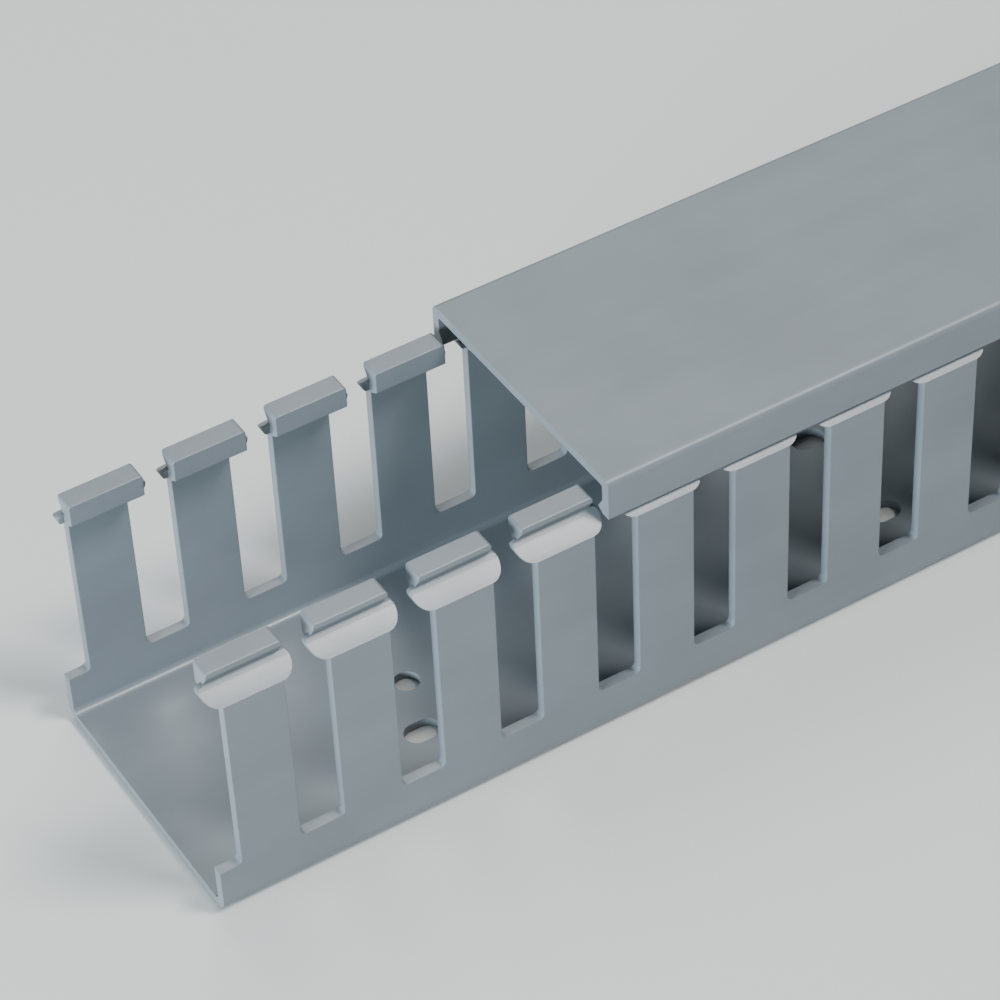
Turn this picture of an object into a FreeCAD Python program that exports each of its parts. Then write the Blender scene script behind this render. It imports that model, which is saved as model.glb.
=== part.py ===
import FreeCAD, Part
import math
import os

# Slotted wire duct with its clip-on cover, one metre of straight stock.
# Millimetres. X runs along the duct, Y across it, Z up.
# The origin is the middle of the base underside, halfway along the duct.

# Length and rhythm of the slots
DUCT_LENGTH = 1000.0
PITCH = 20.0
SLOT_WIDTH = 8.5
COVER_SLIDE = 78.7

# Channel section
DUCT_WIDTH = 56.8
WALL = 2.0
BASE = 1.8
BASE_OUTER_RADIUS = 3.0
BASE_INNER_RADIUS = 1.3

# Cover
OVERALL_HEIGHT = 57.8
COVER_INSET = 0.25
COVER_PLATE = 1.9
COVER_OUTER_RADIUS = 1.2
COVER_INNER_RADIUS = 0.5
SKIRT_HEIGHT = 8.3
ROOF_CLEARANCE = 2.1
NOSE_CLEARANCE = 0.35
GROOVE_CLEARANCE = 0.4
HOOK_CLEARANCE = 0.3

# Finger heads: drops below the flat roof, distances in from the outer wall face
NOSE_HEIGHT = 1.2
GROOVE_DROP = 3.2
GROOVE_ROOT_HEIGHT = 0.3
LIP_DROP = 6.2
HEAD_INNER_HEIGHT = 4.5
HEAD_ROOT_DROP = 7.4
GROOVE_DEPTH = 3.8
NOSE_INSET = 2.5
HEAD_REACH = 6.8

# Slot outline
SLOT_BOTTOM = 10.1
SLOT_CORNER_BEVEL = 1.0
THROAT_GAP = 3.0
HEAD_CORNER_RISE = 2.2
ROOF_GAP = 5.8
EAR_REACH = 4.6

# Mounting holes in the base
HOLE_GROUP_PITCH = 100.0
OBLONG_START = 49.0
OBLONG_ROW = 12.0
OBLONG_WIDTH = 4.9
OBLONG_LENGTH = 7.0
ROUND_START = 53.0
ROUND_DIAMETER = 4.9

CUT_MARGIN = 1.0

# Levels above the base underside
ROOF_LEVEL = OVERALL_HEIGHT - COVER_PLATE - ROOF_CLEARANCE
NOSE_LEVEL = ROOF_LEVEL - NOSE_HEIGHT
GROOVE_HIGH = ROOF_LEVEL - GROOVE_DROP
GROOVE_LOW = GROOVE_HIGH - GROOVE_ROOT_HEIGHT
LIP_LEVEL = ROOF_LEVEL - LIP_DROP
HEAD_UNDERSIDE = ROOF_LEVEL - HEAD_INNER_HEIGHT
HEAD_ROOT = ROOF_LEVEL - HEAD_ROOT_DROP
SKIRT_LEVEL = OVERALL_HEIGHT - SKIRT_HEIGHT


def half_width():
    """Distance from the middle plane to the outer wall face."""
    return DUCT_WIDTH / 2


def near_end():
    """X of the duct end that the cover leaves bare."""
    return -DUCT_LENGTH / 2


def point(across, height):
    """A point of a cross-section in the plane X = 0."""
    return FreeCAD.Vector(0, across, height)


def line(start, end):
    """A straight edge."""
    return Part.LineSegment(start, end).toShape()


def quarter(start, end, center):
    """The short arc from start to end about center."""
    radius = (start - center).Length
    middle = (start + end) / 2 - center
    middle = center + middle.normalize() * radius
    return Part.Arc(start, middle, end).toShape()


def path(points):
    """Straight edges through the points in order."""
    edges = []
    for start, end in zip(points[:-1], points[1:]):
        edges.append(line(start, end))
    return edges


def section_solid(half_edges, start_x, length):
    """Mirror half a cross-section, close it and extrude it along X."""
    edges = list(half_edges)
    for edge in half_edges:
        edges.append(edge.mirror(FreeCAD.Vector(0, 0, 0), FreeCAD.Vector(0, 1, 0)))
    wire = Part.Wire(Part.__sortEdges__(edges))
    face = Part.Face(wire)
    face.translate(FreeCAD.Vector(start_x, 0, 0))
    return face.extrude(FreeCAD.Vector(length, 0, 0))


def nose_slope():
    """How far the nose's underside moves outward for each millimetre up."""
    return (GROOVE_DEPTH - NOSE_INSET) / (NOSE_LEVEL - GROOVE_HIGH)


def lip_slope():
    """How far the lip moves outward for each millimetre down."""
    return GROOVE_DEPTH / (GROOVE_LOW - LIP_LEVEL)


def sideways(clearance, slope):
    """Sideways shift that leaves a clearance square to a face of that slope."""
    return clearance * (1 + slope ** 2) ** 0.5


def channel_half_section():
    """Half of the channel: base, wall and the hooked head along its top."""
    outer = half_width()
    inner = outer - WALL
    groove = outer - GROOVE_DEPTH
    nose = outer - NOSE_INSET
    head_inner = outer - HEAD_REACH
    corner_start = point(outer - BASE_OUTER_RADIUS, 0)
    corner_end = point(outer, BASE_OUTER_RADIUS)
    corner_center = point(outer - BASE_OUTER_RADIUS, BASE_OUTER_RADIUS)
    floor_start = point(inner, BASE + BASE_INNER_RADIUS)
    floor_end = point(inner - BASE_INNER_RADIUS, BASE)
    floor_center = point(inner - BASE_INNER_RADIUS, BASE + BASE_INNER_RADIUS)
    edges = [line(point(0, 0), corner_start)]
    edges.append(quarter(corner_start, corner_end, corner_center))
    edges.extend(path([
        corner_end,
        point(outer, LIP_LEVEL),
        point(groove, GROOVE_LOW),
        point(groove, GROOVE_HIGH),
        point(nose, NOSE_LEVEL),
        point(nose, ROOF_LEVEL),
        point(head_inner, ROOF_LEVEL),
        point(head_inner, HEAD_UNDERSIDE),
        point(inner, HEAD_ROOT),
        floor_start,
    ]))
    edges.append(quarter(floor_start, floor_end, floor_center))
    edges.append(line(floor_end, point(0, BASE)))
    return edges


def slot_half_edges():
    """Right half of the slot outline in the plane Y = 0; two flats round an ear's lower corner."""
    side = SLOT_WIDTH / 2
    throat = THROAT_GAP / 2
    roof = ROOF_GAP / 2
    share = 1 - math.sqrt(0.5)
    top = ROOF_LEVEL + CUT_MARGIN

    def spot(x, z):
        return FreeCAD.Vector(x, 0, z)

    points = [
        spot(0, SLOT_BOTTOM),
        spot(side - SLOT_CORNER_BEVEL, SLOT_BOTTOM),
        spot(side, SLOT_BOTTOM + SLOT_CORNER_BEVEL),
        spot(side, LIP_LEVEL),
        spot(throat + share * (side - throat), LIP_LEVEL + share * HEAD_CORNER_RISE),
        spot(throat, LIP_LEVEL + HEAD_CORNER_RISE),
        spot(roof, GROOVE_HIGH),
        spot(roof, top),
        spot(0, top),
    ]
    return path(points)


def slot_cutter(x):
    """One slot through both walls, cut square across the duct at X = x."""
    edges = slot_half_edges()
    for edge in slot_half_edges():
        edges.append(edge.mirror(FreeCAD.Vector(0, 0, 0), FreeCAD.Vector(1, 0, 0)))
    wire = Part.Wire(Part.__sortEdges__(edges))
    face = Part.Face(wire)
    reach = half_width() + CUT_MARGIN
    face.translate(FreeCAD.Vector(x, -reach, 0))
    return face.extrude(FreeCAD.Vector(0, 2 * reach, 0))


def head_gap_cutter(x):
    """The wider gap between two heads at X = x, inward of the ears that close the throat."""
    reach = half_width() - EAR_REACH
    top = ROOF_LEVEL + CUT_MARGIN
    corner = FreeCAD.Vector(x - ROOF_GAP / 2, -reach, LIP_LEVEL)
    return Part.makeBox(ROOF_GAP, 2 * reach, top - LIP_LEVEL, corner)


def slot_cutters():
    """Slots at every pitch; the two duct ends run through the middle of one."""
    count = round(DUCT_LENGTH / PITCH)
    cutters = []
    for index in range(count + 1):
        x = near_end() + index * PITCH
        cutters.append(slot_cutter(x).fuse(head_gap_cutter(x)))
    return cutters


def round_hole(x):
    """One round hole on the middle line of the base."""
    start = FreeCAD.Vector(x, 0, -CUT_MARGIN)
    return Part.makeCylinder(ROUND_DIAMETER / 2, BASE + 2 * CUT_MARGIN, start)


def oblong_hole(x, y):
    """One oblong hole in the base, longer along the duct."""
    radius = OBLONG_WIDTH / 2
    reach = OBLONG_LENGTH / 2 - radius
    low = -CUT_MARGIN
    left_top = FreeCAD.Vector(x - reach, y + radius, low)
    right_top = FreeCAD.Vector(x + reach, y + radius, low)
    left_low = FreeCAD.Vector(x - reach, y - radius, low)
    right_low = FreeCAD.Vector(x + reach, y - radius, low)
    right_tip = FreeCAD.Vector(x + reach + radius, y, low)
    left_tip = FreeCAD.Vector(x - reach - radius, y, low)
    edges = [line(left_top, right_top)]
    edges.append(Part.Arc(right_top, right_tip, right_low).toShape())
    edges.append(line(right_low, left_low))
    edges.append(Part.Arc(left_low, left_tip, left_top).toShape())
    face = Part.Face(Part.Wire(edges))
    return face.extrude(FreeCAD.Vector(0, 0, BASE + 2 * CUT_MARGIN))


def base_hole_cutters():
    """A round hole and a pair of oblong holes in every group along the base."""
    count = round(DUCT_LENGTH / HOLE_GROUP_PITCH)
    cutters = []
    for index in range(count):
        start = near_end() + index * HOLE_GROUP_PITCH
        cutters.append(round_hole(start + ROUND_START))
        for row in (-OBLONG_ROW, OBLONG_ROW):
            cutters.append(oblong_hole(start + OBLONG_START, row))
    return cutters


def make_duct():
    """The channel with its slots and base holes."""
    channel = section_solid(channel_half_section(), near_end(), DUCT_LENGTH)
    return channel.cut(slot_cutters() + base_hole_cutters())


def cover_half_section():
    """Half of the cover: flat plate, skirt and the hook that sits in the groove."""
    outer = half_width() - COVER_INSET
    inner = half_width() - NOSE_INSET + NOSE_CLEARANCE
    under = OVERALL_HEIGHT - COVER_PLATE
    root = half_width() - GROOVE_DEPTH
    hook_tip = root + GROOVE_CLEARANCE
    hook_above = root + sideways(HOOK_CLEARANCE, nose_slope())
    hook_below = half_width() + sideways(HOOK_CLEARANCE, lip_slope())
    hook_high = GROOVE_HIGH + (hook_tip - hook_above) / nose_slope()
    hook_root = GROOVE_HIGH + (inner - hook_above) / nose_slope()
    hook_low = LIP_LEVEL + (hook_below - hook_tip) / lip_slope()
    skirt_inner = hook_below - (SKIRT_LEVEL - LIP_LEVEL) * lip_slope()
    top_start = point(outer, OVERALL_HEIGHT - COVER_OUTER_RADIUS)
    top_end = point(outer - COVER_OUTER_RADIUS, OVERALL_HEIGHT)
    top_center = point(outer - COVER_OUTER_RADIUS, OVERALL_HEIGHT - COVER_OUTER_RADIUS)
    inside_start = point(inner, under - COVER_INNER_RADIUS)
    inside_end = point(inner - COVER_INNER_RADIUS, under)
    inside_center = point(inner - COVER_INNER_RADIUS, under - COVER_INNER_RADIUS)
    edges = [line(point(0, OVERALL_HEIGHT), top_end)]
    edges.append(quarter(top_end, top_start, top_center))
    edges.extend(path([
        top_start,
        point(outer, SKIRT_LEVEL),
        point(skirt_inner, SKIRT_LEVEL),
        point(hook_tip, hook_low),
        point(hook_tip, hook_high),
        point(inner, hook_root),
        inside_start,
    ]))
    edges.append(quarter(inside_start, inside_end, inside_center))
    edges.append(line(inside_end, point(0, under)))
    return edges


def make_cover():
    """The cover, as long as the duct and slid back along it."""
    return section_solid(cover_half_section(), near_end() + COVER_SLIDE, DUCT_LENGTH)


os.makedirs("parts", exist_ok=True)
make_duct().exportStep("parts/duct.step")
make_cover().exportStep("parts/cover.step")
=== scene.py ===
import math

import bmesh
import bpy
from mathutils import Matrix, Vector


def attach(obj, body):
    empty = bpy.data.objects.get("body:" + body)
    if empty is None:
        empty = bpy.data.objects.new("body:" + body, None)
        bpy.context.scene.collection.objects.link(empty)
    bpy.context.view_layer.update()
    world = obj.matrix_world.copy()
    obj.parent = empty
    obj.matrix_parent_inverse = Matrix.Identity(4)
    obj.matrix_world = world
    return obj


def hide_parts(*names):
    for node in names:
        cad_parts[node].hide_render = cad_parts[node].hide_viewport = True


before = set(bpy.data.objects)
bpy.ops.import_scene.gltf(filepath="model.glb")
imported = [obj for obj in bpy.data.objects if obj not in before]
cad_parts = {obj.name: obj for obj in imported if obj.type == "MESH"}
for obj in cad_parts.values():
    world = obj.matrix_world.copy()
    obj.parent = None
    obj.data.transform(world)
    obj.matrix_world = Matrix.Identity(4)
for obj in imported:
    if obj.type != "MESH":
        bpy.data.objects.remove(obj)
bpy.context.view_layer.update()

# Sizes in millimetres, the same as the solid parts have.
# X runs along the duct, Y across it, Z up; the origin is the middle of the base underside.
DUCT_LENGTH = 1000.0
PITCH = 20.0
SLOT_WIDTH = 8.5
COVER_SLIDE = 78.7
OUTER = 28.4
WALL = 2.0
BASE = 1.8
BASE_OUTER_RADIUS = 3.0
BASE_INNER_RADIUS = 1.3

OVERALL_HEIGHT = 57.8
COVER_OUTER = 28.15
COVER_PLATE = 1.9
COVER_OUTER_RADIUS = 1.2
COVER_INNER_RADIUS = 0.5
SKIRT_LEVEL = 49.5
SKIRT_INNER = 26.25
SKIRT_TOE = 26.25
HOOK_TIP = 25.0
HOOK_LOW = 50.39
HOOK_HIGH = 50.66
HOOK_ROOT = 52.58

ROOF = 53.8
NOSE = 25.9
NOSE_LEVEL = 52.6
GROOVE = 24.6
GROOVE_HIGH = 50.6
GROOVE_LOW = 50.3
LIP = 47.6
LIP_BULGE = 0.06
LIP_NORMAL = (0.58, 0.81)
LIP_STEPS = 5
LIP_FOOT = 0.3
GROOVE_EASE = 0.1
HEAD_INNER = 21.6
HEAD_UNDERSIDE = 49.3
HEAD_ROOT = 46.4
ROOT_RISE = 0.35
ROOT_REACH = 0.5

SLOT_BOTTOM = 10.1
SLOT_CORNER_RADIUS = 1.0
THROAT_GAP = 3.0
HEAD_CORNER_RISE = 2.2
ROOF_GAP = 5.8
EAR_REACH = 4.6
CUT_EDGE = 0.2
ROOF_EDGE = 0.6
EAR_EDGE = 0.3
NOSE_EDGE = 0.35

HOLE_GROUP_PITCH = 100.0
OBLONG_START = 49.0
OBLONG_ROW = 12.0
HOLE_WIDTH = 4.9
OBLONG_LENGTH = 7.0
ROUND_START = 53.0
HOLE_BAND = 6.0
HOLE_BAND_STEPS = 8
PITCH_STEPS = 16

WELD = 0.005
SHARP_ANGLE = 40
COVER_EDGE = 0.12

MM = 0.001
INNER = OUTER - WALL
FLAT_BASE = OUTER - BASE_OUTER_RADIUS


# Profiles of a finger

def arc(center, radius, start_deg, end_deg, steps):
    """Points on an arc in a plane, angles in degrees."""
    points = []
    for index in range(steps + 1):
        angle = math.radians(start_deg + (end_deg - start_deg) * index / steps)
        points.append((center[0] + radius * math.cos(angle), center[1] + radius * math.sin(angle)))
    return points


def rounded_quarter(from_x, from_z, to_x, to_z, steps):
    """Height and half length from a level edge round to an upright one, a quarter of an ellipse."""
    points = []
    for index in range(steps + 1):
        angle = math.radians(90 * index / steps)
        x = from_x + (to_x - from_x) * math.sin(angle)
        points.append((to_z + (from_z - to_z) * math.cos(angle), x))
    return points


def swap(points):
    """(across, height) pairs as (height, across) pairs."""
    return [(height, across) for across, height in points]


def outer_profile():
    """Height and outer face of a finger, from the roof down."""
    edge = NOSE_EDGE
    points = swap(arc((NOSE - edge, ROOF - edge), edge, 90, 0, 5))
    points += swap(arc((NOSE - edge, NOSE_LEVEL + edge * 0.5), edge, 0, -30, 3))
    points.append((GROOVE_HIGH + GROOVE_EASE, GROOVE + GROOVE_EASE * 0.5))
    points.append((GROOVE_LOW + GROOVE_EASE, GROOVE + GROOVE_EASE * 0.3))
    for index in range(1, LIP_STEPS + 1):
        share = index / LIP_STEPS
        bulge = LIP_BULGE * 4 * share * (1 - share)
        across = GROOVE + (OUTER - GROOVE) * share + bulge * LIP_NORMAL[0]
        height = GROOVE_LOW + (LIP - GROOVE_LOW) * share + bulge * LIP_NORMAL[1]
        points.append((height, min(across, OUTER)))
    points.append((LIP - LIP_FOOT, OUTER))
    points.append((SLOT_BOTTOM, OUTER))
    return points


def inner_profile():
    """Height and inner face of a finger, from the roof down."""
    edge = CUT_EDGE
    points = swap(arc((HEAD_INNER + edge, ROOF - edge), edge, 90, 180, 3))
    points += swap(arc((HEAD_INNER + edge, HEAD_UNDERSIDE + edge), edge, 180, 240, 2))
    points.append((HEAD_ROOT + ROOT_RISE, INNER - ROOT_REACH))
    points.append((HEAD_ROOT, INNER))
    points.append((SLOT_BOTTOM, INNER))
    return points


def reach_profile():
    """Height and half length along the duct of a finger, from the roof down to the slot bottom."""
    half = PITCH / 2
    finger = half - SLOT_WIDTH / 2
    roof = half - ROOF_GAP / 2
    widest = half - THROAT_GAP / 2
    top = arc((roof - ROOF_EDGE, ROOF - ROOF_EDGE), ROOF_EDGE, 90, 0, 4)
    crown = rounded_quarter(roof, GROOVE_HIGH, widest, LIP + HEAD_CORNER_RISE, 4)
    corner = rounded_quarter(finger, LIP, widest, LIP + HEAD_CORNER_RISE, 7)
    points = swap(top) + crown
    points += list(reversed(corner))[1:]
    foot_center = (finger + SLOT_CORNER_RADIUS, SLOT_BOTTOM + SLOT_CORNER_RADIUS)
    foot = arc(foot_center, SLOT_CORNER_RADIUS, 180, 270, 4)
    points += swap(foot)
    points.append((SLOT_BOTTOM, half))
    return points


def edge_profile():
    """Height and rounding of the upright edges of a finger."""
    return [(ROOF, CUT_EDGE), (SLOT_BOTTOM + SLOT_CORNER_RADIUS, CUT_EDGE), (SLOT_BOTTOM, 0.0)]


def value_at(profile, height, below):
    """A profile's value at a height; below picks the lower one where it steps."""
    same = [value for level, value in profile if abs(level - height) < 1e-6]
    if same:
        return same[-1] if below else same[0]
    for (high, first), (low, second) in zip(profile[:-1], profile[1:]):
        if high > height > low:
            return first + (second - first) * (high - height) / (high - low)
    return profile[-1][1]


def finger_stations():
    """Height, inner face, outer face, half length and edge rounding at every level of a finger."""
    profiles = [inner_profile(), outer_profile(), reach_profile(), edge_profile()]
    levels = sorted({round(level, 4) for profile in profiles for level, _ in profile}, reverse=True)
    stations = []
    for level in levels:
        above = [value_at(profile, level, False) for profile in profiles]
        under = [value_at(profile, level, True) for profile in profiles]
        stations.append((level, *above))
        if max(abs(a - b) for a, b in zip(above, under)) > 1e-4:
            stations.append((level, *under))
    return stations


# One pitch of the channel

def plan_half(height, inner, outer, reach, edge):
    """Eleven points round the +X half of a finger seen from above, from inner to outer face."""
    lift = edge * (1 - math.sqrt(0.5))
    root = min(reach, PITCH / 2 - ROOF_GAP / 2) if height > LIP else reach
    ear = max(OUTER - EAR_REACH, inner + 0.3 * (outer - inner))
    ear = min(ear, outer - edge - EAR_EDGE - 0.05) if height > SLOT_BOTTOM else inner
    soft = min(EAR_EDGE, (reach - root) / 2)
    rise = soft * (1 - math.sqrt(0.5))
    return [
        (root - edge, inner), (root - lift, inner + lift), (root, inner + edge),
        (root, ear - soft * 0.5), (root + soft * 0.5, ear),
        (reach - soft, ear), (reach - rise, ear + rise), (reach, ear + soft),
        (reach, outer - edge), (reach - lift, outer - lift), (reach - edge, outer),
    ]


def plan_ring(height, inner, outer, reach, edge):
    """Points round a finger seen from above: thick middle, thinner ears where it is longest."""
    half = plan_half(height, inner, outer, reach, edge)
    return half + [(-x, y) for x, y in reversed(half)]


def add_face(mesh, points, flip):
    """One face from points in millimetres."""
    corners = []
    for point in points:
        if not corners or (Vector(point) - Vector(corners[-1])).length > 1e-5:
            corners.append(point)
    if (Vector(corners[0]) - Vector(corners[-1])).length < 1e-5:
        corners.pop()
    if len(corners) < 3:
        return
    if flip:
        corners.reverse()
    mesh.faces.new([mesh.verts.new(Vector(corner) * MM) for corner in corners])


def add_finger(mesh, side):
    """One finger with its T-shaped hooked head on the wall at side +1 or -1."""
    rings = []
    for height, inner, outer, reach, edge in finger_stations():
        ring = plan_ring(height, inner, outer, reach, edge)
        rings.append([(x, y * side, height) for x, y in ring])
    flip = side < 0
    count = len(rings[0])
    add_face(mesh, rings[0], flip)
    for upper, lower in zip(rings[:-1], rings[1:]):
        level = abs(upper[0][2] - lower[0][2]) < 1e-6
        for index in range(count):
            after = (index + 1) % count
            quad = [lower[index], lower[after], upper[after], upper[index]]
            if level and len({round(y, 5) for _, y, _ in quad}) == 1:
                continue
            add_face(mesh, quad, flip)


def outer_path():
    """Section points from the slot bottom down round the outer corner to the flat underside."""
    corner = arc((FLAT_BASE, BASE_OUTER_RADIUS), BASE_OUTER_RADIUS, 0, -90, 8)
    return [(OUTER, SLOT_BOTTOM)] + corner


def inner_path():
    """Section points from the slot bottom down round the inner corner to the floor."""
    center = (INNER - BASE_INNER_RADIUS, BASE + BASE_INNER_RADIUS)
    return [(INNER, SLOT_BOTTOM)] + arc(center, BASE_INNER_RADIUS, 0, -90, 6)


def low_wall_stops():
    """X of the upright joints along the low wall of one pitch."""
    foot = PITCH / 2 - SLOT_WIDTH / 2 + SLOT_CORNER_RADIUS
    return [-PITCH / 2, -foot, foot, PITCH / 2]


def add_low_wall(mesh, side):
    """The wall under the slots and the rounded corners to the base."""
    flip = side < 0
    for path, inward in ((outer_path(), False), (inner_path(), True)):
        for (y_high, z_high), (y_low, z_low) in zip(path[:-1], path[1:]):
            stops = low_wall_stops()
            for left, right in zip(stops[:-1], stops[1:]):
                quad = [(right, y_low * side, z_low), (left, y_low * side, z_low),
                        (left, y_high * side, z_high), (right, y_high * side, z_high)]
                add_face(mesh, quad, flip != inward)


def band_steps(low, high):
    """Y stops of one band of the base along the joint between two pitches."""
    count = HOLE_BAND_STEPS
    return [low + (high - low) * index / count for index in range(count + 1)]


def pitch_stops():
    """X stops of a band of the base along one pitch."""
    return [PITCH * (index / PITCH_STEPS - 0.5) for index in range(PITCH_STEPS + 1)]


def joint_stops():
    """Y stops of the whole base along the joint between two pitches."""
    stops = [-FLAT_BASE]
    for center in (-OBLONG_ROW, 0.0, OBLONG_ROW):
        stops += band_steps(center - HOLE_BAND, center + HOLE_BAND)[:-1]
    return stops + [OBLONG_ROW + HOLE_BAND, FLAT_BASE]


def flat_reach(height):
    """How far across the flat of the floor or of the underside goes."""
    return FLAT_BASE if height == 0 else INNER - BASE_INNER_RADIUS


def add_plain_base(mesh, height, flip):
    """The floor or underside of a pitch with no holes."""
    half = PITCH / 2
    edge = flat_reach(height)
    rim = [(x, -edge, height) for x in low_wall_stops()]
    rim += [(half, y, height) for y in joint_stops()[1:-1]]
    rim += [(x, edge, height) for x in reversed(low_wall_stops())]
    rim += [(-half, y, height) for y in reversed(joint_stops()[1:-1])]
    add_face(mesh, rim, flip)


def hole_edge(direction, reach, radius):
    """Where a ray from a hole's middle meets its outline: a circle, or an oblong if reach is above 0."""
    x, y = direction
    if reach and abs(x) * radius <= abs(y) * reach:
        scale = radius / abs(y)
        return x * scale, y * scale
    center = math.copysign(reach, x)
    dot = x * center
    scale = dot + math.sqrt(max(0.0, dot * dot - center * center + radius * radius))
    return x * scale, y * scale


def add_hole_band(mesh, hole_x, row, reach):
    """The floor and underside round one hole, and the hole's wall."""
    half = PITCH / 2
    radius = HOLE_WIDTH / 2
    stops_x = pitch_stops()
    stops_y = band_steps(row - HOLE_BAND, row + HOLE_BAND)
    rim = [(x, stops_y[0]) for x in stops_x]
    rim += [(half, y) for y in stops_y[1:]]
    rim += [(x, stops_y[-1]) for x in reversed(stops_x[:-1])]
    rim += [(-half, y) for y in reversed(stops_y[1:-1])]
    lip = []
    for x, y in rim:
        away = Vector((x - hole_x, y - row)).normalized()
        edge_x, edge_y = hole_edge(away, reach, radius)
        lip.append((hole_x + edge_x, row + edge_y))
    for index in range(len(rim)):
        after = (index + 1) % len(rim)
        a, b, c, d = rim[index], rim[after], lip[after], lip[index]
        add_face(mesh, [(*p, BASE) for p in (a, b, c, d)], False)
        add_face(mesh, [(*p, 0.0) for p in (a, b, c, d)], True)
        add_face(mesh, [(*c, 0.0), (*d, 0.0), (*d, BASE), (*c, BASE)], False)


def add_base_margin(mesh, side, height, flip):
    """The strip of base between the last row of holes and the wall."""
    inner = OBLONG_ROW + HOLE_BAND
    rim = [(x, inner * side, height) for x in pitch_stops()]
    rim += [(x, flat_reach(height) * side, height) for x in reversed(low_wall_stops())]
    add_face(mesh, rim, flip != (side < 0))


def pitch_object(name, with_holes):
    """One pitch of the channel: two fingers, the walls under them and the base between."""
    mesh = bmesh.new()
    for side in (1, -1):
        add_finger(mesh, side)
        add_low_wall(mesh, side)
    if with_holes:
        cell_middle = PITCH * (math.floor(OBLONG_START / PITCH) + 0.5)
        oblong_x = OBLONG_START - cell_middle
        oblong_reach = (OBLONG_LENGTH - HOLE_WIDTH) / 2
        add_hole_band(mesh, ROUND_START - cell_middle, 0.0, 0.0)
        for side in (1, -1):
            add_hole_band(mesh, oblong_x, OBLONG_ROW * side, oblong_reach)
            add_base_margin(mesh, side, BASE, False)
            add_base_margin(mesh, side, 0.0, True)
    else:
        add_plain_base(mesh, BASE, False)
        add_plain_base(mesh, 0.0, True)
    bmesh.ops.remove_doubles(mesh, verts=mesh.verts, dist=WELD * MM)
    return object_from(mesh, name)


def end_faces_object(name):
    """The two sawn ends of the channel, through the middle of a slot."""
    mesh = bmesh.new()
    rim = [(y, z) for y, z in outer_path()]
    rim += [(y, 0.0) for y in reversed(joint_stops()[1:-1])]
    rim += [(-y, z) for y, z in reversed(outer_path())]
    rim += [(-y, z) for y, z in inner_path()]
    rim += [(y, BASE) for y in joint_stops()[1:-1]]
    rim += [(y, z) for y, z in reversed(inner_path())]
    for x, flip in ((-DUCT_LENGTH / 2, False), (DUCT_LENGTH / 2, True)):
        add_face(mesh, [(x, y, z) for y, z in rim], flip)
    return object_from(mesh, name)


def object_from(mesh, name):
    """A linked object made from a bmesh, which is freed."""
    data = bpy.data.meshes.new(name)
    mesh.to_mesh(data)
    mesh.free()
    piece = bpy.data.objects.new(name, data)
    bpy.context.scene.collection.objects.link(piece)
    return piece


# The row of pitches, by Geometry Nodes

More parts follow.
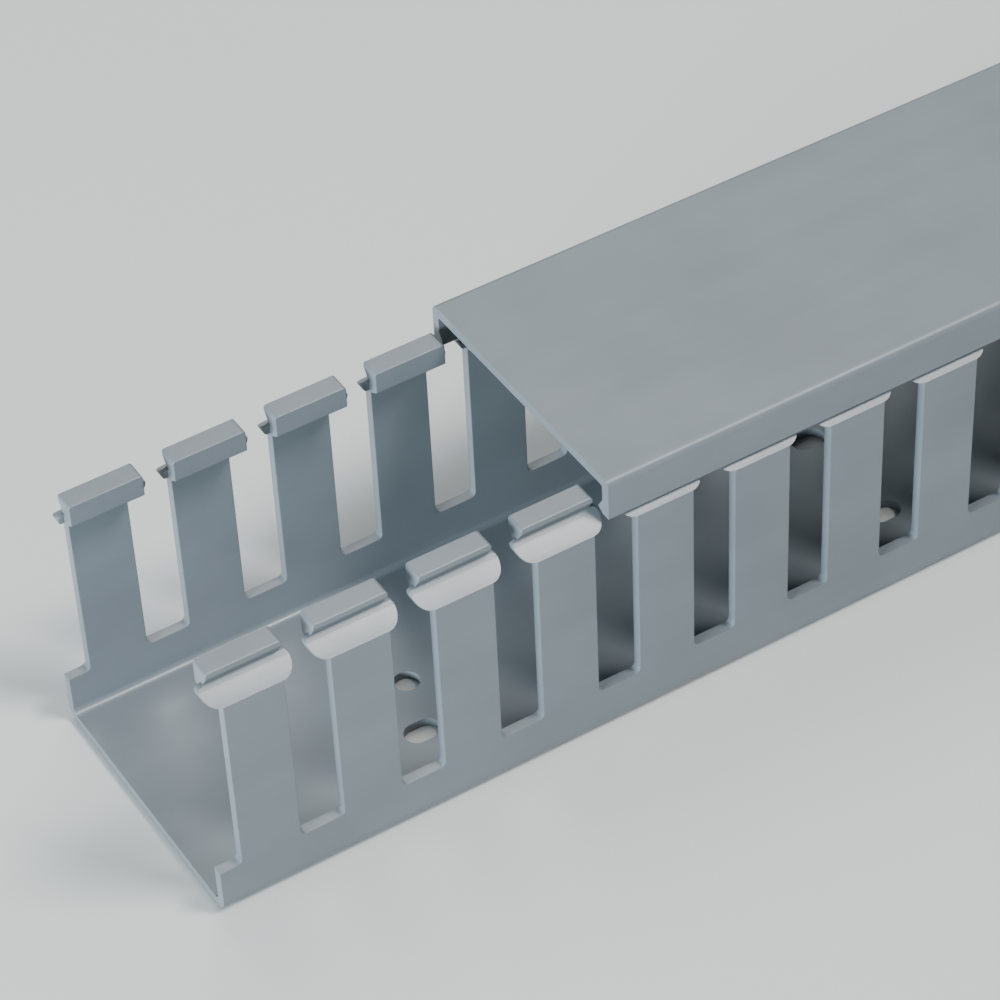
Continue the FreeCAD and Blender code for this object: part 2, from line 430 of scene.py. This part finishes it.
def row_tree(material):
    """A node tree that repeats a plain and a holed pitch along X and joins the end faces."""
    tree = bpy.data.node_groups.new("slotted_channel_row", "GeometryNodeTree")
    face = tree.interface
    face.new_socket("Geometry", in_out="INPUT", socket_type="NodeSocketGeometry")
    face.new_socket("Plain Pitch", in_out="INPUT", socket_type="NodeSocketObject")
    face.new_socket("Holed Pitch", in_out="INPUT", socket_type="NodeSocketObject")
    face.new_socket("Pitch", in_out="INPUT", socket_type="NodeSocketFloat")
    face.new_socket("Count", in_out="INPUT", socket_type="NodeSocketInt")
    face.new_socket("Pitches per Hole Group", in_out="INPUT", socket_type="NodeSocketInt")
    face.new_socket("Holed Place", in_out="INPUT", socket_type="NodeSocketInt")
    face.new_socket("Weld Distance", in_out="INPUT", socket_type="NodeSocketFloat")
    face.new_socket("Geometry", in_out="OUTPUT", socket_type="NodeSocketGeometry")
    nodes, links = tree.nodes, tree.links
    given = nodes.new("NodeGroupInput")
    made = nodes.new("NodeGroupOutput")

    def math_node(operation, first, second):
        node = nodes.new("ShaderNodeMath")
        node.operation = operation
        for socket, value in zip(node.inputs, (first, second)):
            if isinstance(value, (int, float)):
                socket.default_value = value
            else:
                links.new(value, socket)
        return node.outputs[0]

    less = math_node("SUBTRACT", given.outputs["Count"], 1)
    span = math_node("MULTIPLY", less, given.outputs["Pitch"])
    start = math_node("MULTIPLY", span, -0.5)
    first = nodes.new("ShaderNodeCombineXYZ")
    links.new(start, first.inputs["X"])
    step = nodes.new("ShaderNodeCombineXYZ")
    links.new(given.outputs["Pitch"], step.inputs["X"])
    row = nodes.new("GeometryNodeMeshLine")
    links.new(given.outputs["Count"], row.inputs["Count"])
    links.new(first.outputs[0], row.inputs["Start Location"])
    links.new(step.outputs[0], row.inputs["Offset"])
    index = nodes.new("GeometryNodeInputIndex")
    place = math_node("MODULO", index.outputs[0], given.outputs["Pitches per Hole Group"])
    holed = nodes.new("FunctionNodeCompare")
    holed.data_type = "INT"
    holed.operation = "EQUAL"
    links.new(place, holed.inputs["A"])
    links.new(given.outputs["Holed Place"], holed.inputs["B"])
    other = nodes.new("FunctionNodeBooleanMath")
    other.operation = "NOT"
    links.new(holed.outputs[0], other.inputs[0])
    join = nodes.new("GeometryNodeJoinGeometry")
    for socket, selection in (("Plain Pitch", other.outputs[0]), ("Holed Pitch", holed.outputs[0])):
        source = nodes.new("GeometryNodeObjectInfo")
        links.new(given.outputs[socket], source.inputs["Object"])
        spread = nodes.new("GeometryNodeInstanceOnPoints")
        links.new(row.outputs["Mesh"], spread.inputs["Points"])
        links.new(selection, spread.inputs["Selection"])
        links.new(source.outputs["Geometry"], spread.inputs["Instance"])
        links.new(spread.outputs[0], join.inputs[0])
    links.new(given.outputs["Geometry"], join.inputs[0])
    real = nodes.new("GeometryNodeRealizeInstances")
    weld = nodes.new("GeometryNodeMergeByDistance")
    paint = nodes.new("GeometryNodeSetMaterial")
    paint.inputs["Material"].default_value = material
    links.new(join.outputs[0], real.inputs[0])
    links.new(real.outputs[0], weld.inputs["Geometry"])
    links.new(given.outputs["Weld Distance"], weld.inputs["Distance"])
    links.new(weld.outputs[0], paint.inputs["Geometry"])
    links.new(paint.outputs[0], made.inputs[0])
    return tree


def set_input(modifier, name, value):
    """Set a node modifier's input by the identifier of the socket with that name."""
    for item in modifier.node_group.interface.items_tree:
        if item.item_type == "SOCKET" and item.in_out == "INPUT" and item.name == name:
            modifier[item.identifier] = value


def flattened(piece, name):
    """A plain mesh object made from an object with its modifiers applied."""
    graph = bpy.context.evaluated_depsgraph_get()
    data = bpy.data.meshes.new_from_object(piece.evaluated_get(graph))
    data.name = name
    result = bpy.data.objects.new(name, data)
    bpy.context.scene.collection.objects.link(result)
    return result


def shaded(piece, name, degrees):
    """A copy shaded smooth, sharp where faces meet at more than an angle, flat faces kept even."""
    data = piece.data
    data.polygons.foreach_set("use_smooth", [True] * len(data.polygons))
    data.set_sharp_from_angle(angle=math.radians(degrees))
    weigh = piece.modifiers.new("even_faces", "WEIGHTED_NORMAL")
    weigh.mode = "FACE_AREA"
    weigh.keep_sharp = True
    bpy.context.view_layer.update()
    result = flattened(piece, name)
    bpy.data.objects.remove(piece)
    return result


def build_channel(material):
    """The whole channel as one mesh."""
    plain = pitch_object("plain_pitch", False)
    holed = pitch_object("holed_pitch", True)
    base = end_faces_object("channel_ends")
    modifier = base.modifiers.new("row", "NODES")
    modifier.node_group = row_tree(material)
    set_input(modifier, "Plain Pitch", plain)
    set_input(modifier, "Holed Pitch", holed)
    set_input(modifier, "Pitch", PITCH * MM)
    set_input(modifier, "Count", round(DUCT_LENGTH / PITCH))
    set_input(modifier, "Pitches per Hole Group", round(HOLE_GROUP_PITCH / PITCH))
    set_input(modifier, "Holed Place", math.floor(OBLONG_START / PITCH))
    set_input(modifier, "Weld Distance", WELD * MM)
    base.update_tag()
    bpy.context.view_layer.update()
    joined = flattened(base, "joined_channel")
    for helper in (plain, holed, base):
        bpy.data.objects.remove(helper)
    return shaded(joined, "slotted_channel", SHARP_ANGLE)


# The cover

def cover_half_profile():
    """Half of the cover's section, from the middle of its top down to the middle of its underside."""
    under = OVERALL_HEIGHT - COVER_PLATE
    small = COVER_EDGE
    outside = (COVER_OUTER - COVER_OUTER_RADIUS, OVERALL_HEIGHT - COVER_OUTER_RADIUS)
    points = [(0.0, OVERALL_HEIGHT)]
    points += arc(outside, COVER_OUTER_RADIUS, 90, 0, 8)
    points += arc((COVER_OUTER - small, SKIRT_LEVEL + small), small, 0, -90, 3)
    points += arc((SKIRT_TOE + small, SKIRT_LEVEL + small), small, -90, -125, 2)
    points += arc((HOOK_TIP + small, HOOK_LOW + small), small, -125, -180, 2)
    points += arc((HOOK_TIP + small, HOOK_HIGH - small), small, 180, 147, 2)
    points.append((SKIRT_INNER, HOOK_ROOT))
    inside = (SKIRT_INNER - COVER_INNER_RADIUS, under - COVER_INNER_RADIUS)
    points += arc(inside, COVER_INNER_RADIUS, 0, 90, 4)
    points.append((0.0, under))
    return points


def build_cover(material):
    """The cover as one mesh, with its two cut ends."""
    half = cover_half_profile()
    rim = half + [(-y, z) for y, z in reversed(half[1:-1])]
    start = -DUCT_LENGTH / 2 + COVER_SLIDE
    end = start + DUCT_LENGTH
    mesh = bmesh.new()
    rings = []
    for x in (start, end):
        rings.append([mesh.verts.new(Vector((x, y, z)) * MM) for y, z in rim])
    count = len(rim)
    for index in range(count):
        after = (index + 1) % count
        mesh.faces.new([rings[0][index], rings[0][after], rings[1][after], rings[1][index]])
    mesh.faces.new(rings[0])
    mesh.faces.new(list(reversed(rings[1])))
    bmesh.ops.recalc_face_normals(mesh, faces=mesh.faces)
    cover = object_from(mesh, "plain_cover")
    cover.data.materials.append(material)
    return shaded(cover, "sliding_cover", SHARP_ANGLE)


# Materials

def plastic(name, tint, roughness):
    """Satin rigid plastic: faint mottling, drawn streaks along the stock, a fine matt grain."""
    material = bpy.data.materials.new(name)
    material.use_nodes = True
    nodes, links = material.node_tree.nodes, material.node_tree.links
    shader = nodes["Principled BSDF"]
    place = nodes.new("ShaderNodeTexCoord")

    def noise(scale, detail, stretch=(1, 1, 1)):
        mapping = nodes.new("ShaderNodeMapping")
        mapping.inputs["Scale"].default_value = stretch
        links.new(place.outputs["Object"], mapping.inputs["Vector"])
        node = nodes.new("ShaderNodeTexNoise")
        node.inputs["Scale"].default_value = scale
        node.inputs["Detail"].default_value = detail
        links.new(mapping.outputs["Vector"], node.inputs["Vector"])
        return node.outputs["Fac"]

    def ramp(source, low, high, first, second):
        node = nodes.new("ShaderNodeValToRGB")
        node.color_ramp.elements[0].position = low
        node.color_ramp.elements[1].position = high
        node.color_ramp.elements[0].color = (*first, 1)
        node.color_ramp.elements[1].color = (*second, 1)
        links.new(source, node.inputs["Fac"])
        return node.outputs["Color"]

    dark = tuple(value * 0.93 for value in tint)
    light = tuple(value * 1.07 for value in tint)
    clouds = ramp(noise(45.0, 4.0), 0.32, 0.68, dark, light)
    streaks = ramp(noise(160.0, 3.0, (0.04, 1, 1)), 0.3, 0.7, (0.965,) * 3, (1.035,) * 3)
    mix = nodes.new("ShaderNodeMix")
    mix.data_type = "RGBA"
    mix.blend_type = "MULTIPLY"
    mix.inputs["Factor"].default_value = 1.0
    links.new(clouds, mix.inputs[6])
    links.new(streaks, mix.inputs[7])
    links.new(mix.outputs[2], shader.inputs["Base Color"])
    rough = nodes.new("ShaderNodeMapRange")
    rough.inputs["To Min"].default_value = roughness - 0.06
    rough.inputs["To Max"].default_value = roughness + 0.06
    links.new(noise(220.0, 3.0, (0.3, 1, 1)), rough.inputs["Value"])
    links.new(rough.outputs["Result"], shader.inputs["Roughness"])
    grain = nodes.new("ShaderNodeBump")
    grain.inputs["Strength"].default_value = 0.25
    grain.inputs["Distance"].default_value = 0.00004
    links.new(noise(3200.0, 2.0), grain.inputs["Height"])
    drawn = nodes.new("ShaderNodeBump")
    drawn.inputs["Strength"].default_value = 0.08
    drawn.inputs["Distance"].default_value = 0.00003
    links.new(noise(300.0, 1.0, (0.01, 1, 1)), drawn.inputs["Height"])
    links.new(grain.outputs["Normal"], drawn.inputs["Normal"])
    links.new(drawn.outputs["Normal"], shader.inputs["Normal"])
    shader.inputs["IOR"].default_value = 1.53
    return material


def floor_paint():
    """A plain pale floor."""
    material = bpy.data.materials.new("pale_floor")
    material.use_nodes = True
    nodes, links = material.node_tree.nodes, material.node_tree.links
    shader = nodes["Principled BSDF"]
    place = nodes.new("ShaderNodeTexCoord")
    noise = nodes.new("ShaderNodeTexNoise")
    noise.inputs["Scale"].default_value = 3.0
    links.new(place.outputs["Object"], noise.inputs["Vector"])
    ramp = nodes.new("ShaderNodeValToRGB")
    ramp.color_ramp.elements[0].color = (0.42, 0.42, 0.42, 1)
    ramp.color_ramp.elements[1].color = (0.44, 0.44, 0.44, 1)
    links.new(noise.outputs["Fac"], ramp.inputs["Fac"])
    links.new(ramp.outputs["Color"], shader.inputs["Base Color"])
    shader.inputs["Roughness"].default_value = 0.9
    return material


# Floor, light and camera

def build_floor():
    """A large flat floor under the duct."""
    mesh = bmesh.new()
    bmesh.ops.create_grid(mesh, x_segments=1, y_segments=1, size=6.0)
    bmesh.ops.translate(mesh, verts=mesh.verts, vec=(0, 0, -0.0002))
    floor = object_from(mesh, "floor")
    floor.data.materials.append(floor_paint())


def soft_light(name, toward, distance, size, power, tint=(1, 1, 1)):
    """A square softbox aimed at the open end of the duct."""
    data = bpy.data.lights.new(name, "AREA")
    data.shape = "SQUARE"
    data.size = size
    data.energy = power
    data.color = tint
    light = bpy.data.objects.new(name, data)
    target = Vector((-0.42, 0.0, 0.03))
    light.location = target + Vector(toward).normalized() * distance
    light.rotation_euler = (target - light.location).to_track_quat("-Z", "Y").to_euler()
    bpy.context.scene.collection.objects.link(light)


def build_world(strength):
    """Even pale surroundings."""
    world = bpy.data.worlds.new("studio")
    world.use_nodes = True
    ground = world.node_tree.nodes["Background"]
    ground.inputs["Color"].default_value = (0.76, 0.95, 1.0, 1)
    ground.inputs["Strength"].default_value = strength
    bpy.context.scene.world = world


def build_camera():
    """The camera at the photograph's place, looking down along the duct from its open end."""
    data = bpy.data.cameras.new("camera")
    data.sensor_fit = "HORIZONTAL"
    data.sensor_width = 36.0
    data.lens = 3880.9 * 36.0 / 1000.0
    data.clip_start = 0.01
    data.clip_end = 50.0
    camera = bpy.data.objects.new("camera", data)
    right = Vector((0.84692608, -0.53037866, -0.03761247))
    down = Vector((-0.38522549, -0.5633044, -0.73095108))
    ahead = Vector((0.36649359, 0.63355081, -0.68139257))
    turn = Matrix((right, -down, -ahead)).transposed().to_4x4()
    eye = Vector((-173.9911 - DUCT_LENGTH / 2, -428.901, 496.0877)) * MM
    camera.matrix_world = Matrix.Translation(eye) @ turn
    bpy.context.scene.collection.objects.link(camera)
    bpy.context.scene.camera = camera


duct_plastic = plastic("duct_plastic", (0.103, 0.118, 0.134), 0.38)
cover_plastic = plastic("cover_plastic", (0.103, 0.118, 0.134), 0.47)

channel = build_channel(duct_plastic)
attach(channel, "duct")
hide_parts("duct")

cover = build_cover(cover_plastic)
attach(cover, "cover")
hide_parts("cover")

build_floor()
build_world(0.5)
soft_light("top_softbox", (0.28, 0.45, 0.85), 3.0, 1.6, 48.0, (1.0, 0.99, 0.97))
soft_light("key_softbox", (0.38, -0.38, 0.84), 3.0, 0.8, 126.0, (1.0, 0.97, 0.93))
soft_light("end_softbox", (-0.955, -0.255, 0.15), 1.0, 0.3, 33.0, (0.84, 0.96, 1.0))
build_camera()
